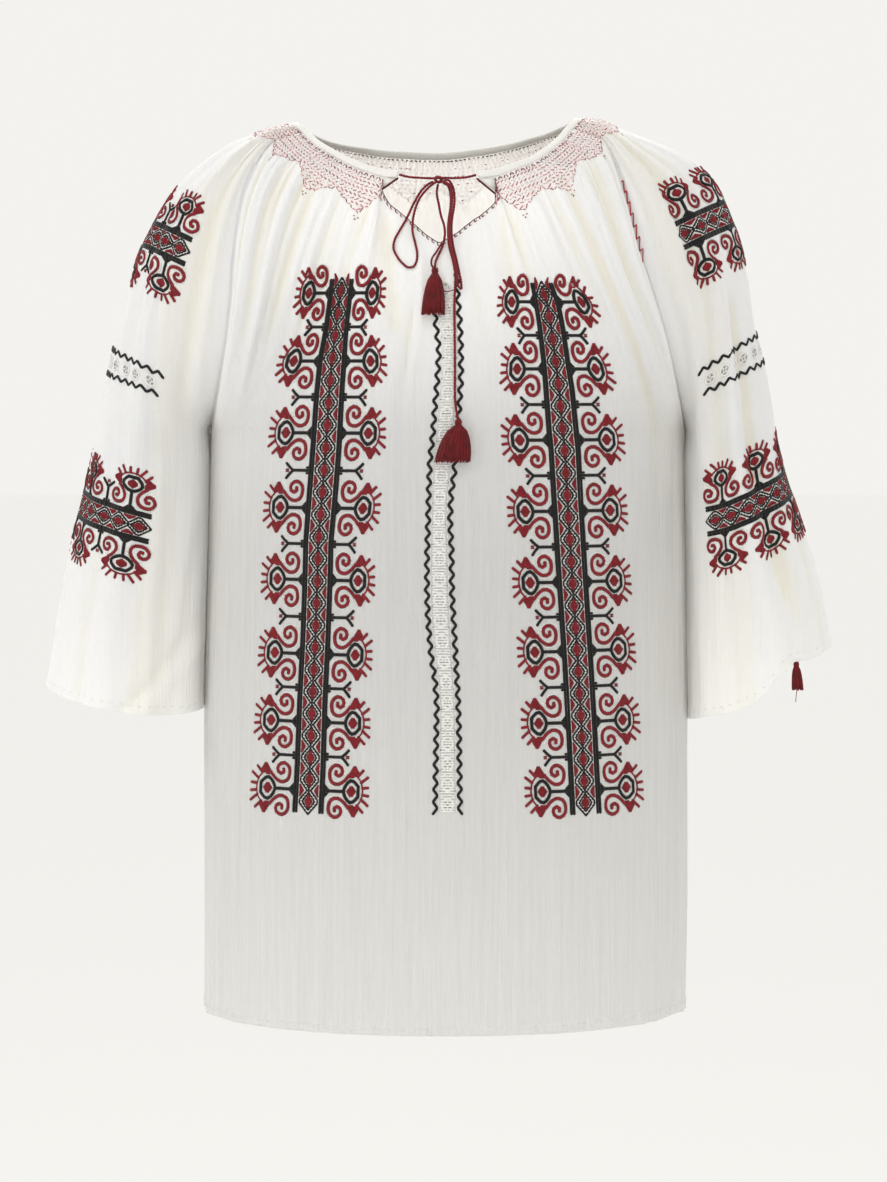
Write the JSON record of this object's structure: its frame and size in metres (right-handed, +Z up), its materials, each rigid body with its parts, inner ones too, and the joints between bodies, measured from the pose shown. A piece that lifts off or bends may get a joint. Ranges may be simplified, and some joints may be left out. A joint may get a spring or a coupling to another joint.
{
  "type": "embroidered blouse",
  "caption": "Loose raglan blouse with a gathered neck, a front slit tied with a tasselled cord, and wide open sleeves, filled out with no wearer.",
  "frame": {"origin": "middle of the neck opening, level with the shoulders, where the wearer's neck and shoulders hold the blouse up", "axes": "+X to the wearer's left, -Y to the front, +Z up"},
  "size_m": [0.6242, 0.2581, 0.7086],
  "materials": {
    "cotton_voile": "matte",
    "red_thread": "matte"
  },
  "bodies": {
    "root": {"back": "cotton_voile", "front": "cotton_voile", "neck_binding": "cotton_voile", "sleeve_left": "cotton_voile", "sleeve_right": "cotton_voile", "cord_bow_left": "red_thread", "cord_bow_right": "red_thread", "cord_drawn_left": "red_thread", "cord_drawn_right": "red_thread", "cord_knot": "red_thread", "cord_tail_long": "red_thread", "cord_tail_short": "red_thread", "cuff_tassel": "red_thread", "tassel_long": "red_thread", "tassel_short": "red_thread"}
  },
  "joints": []
}
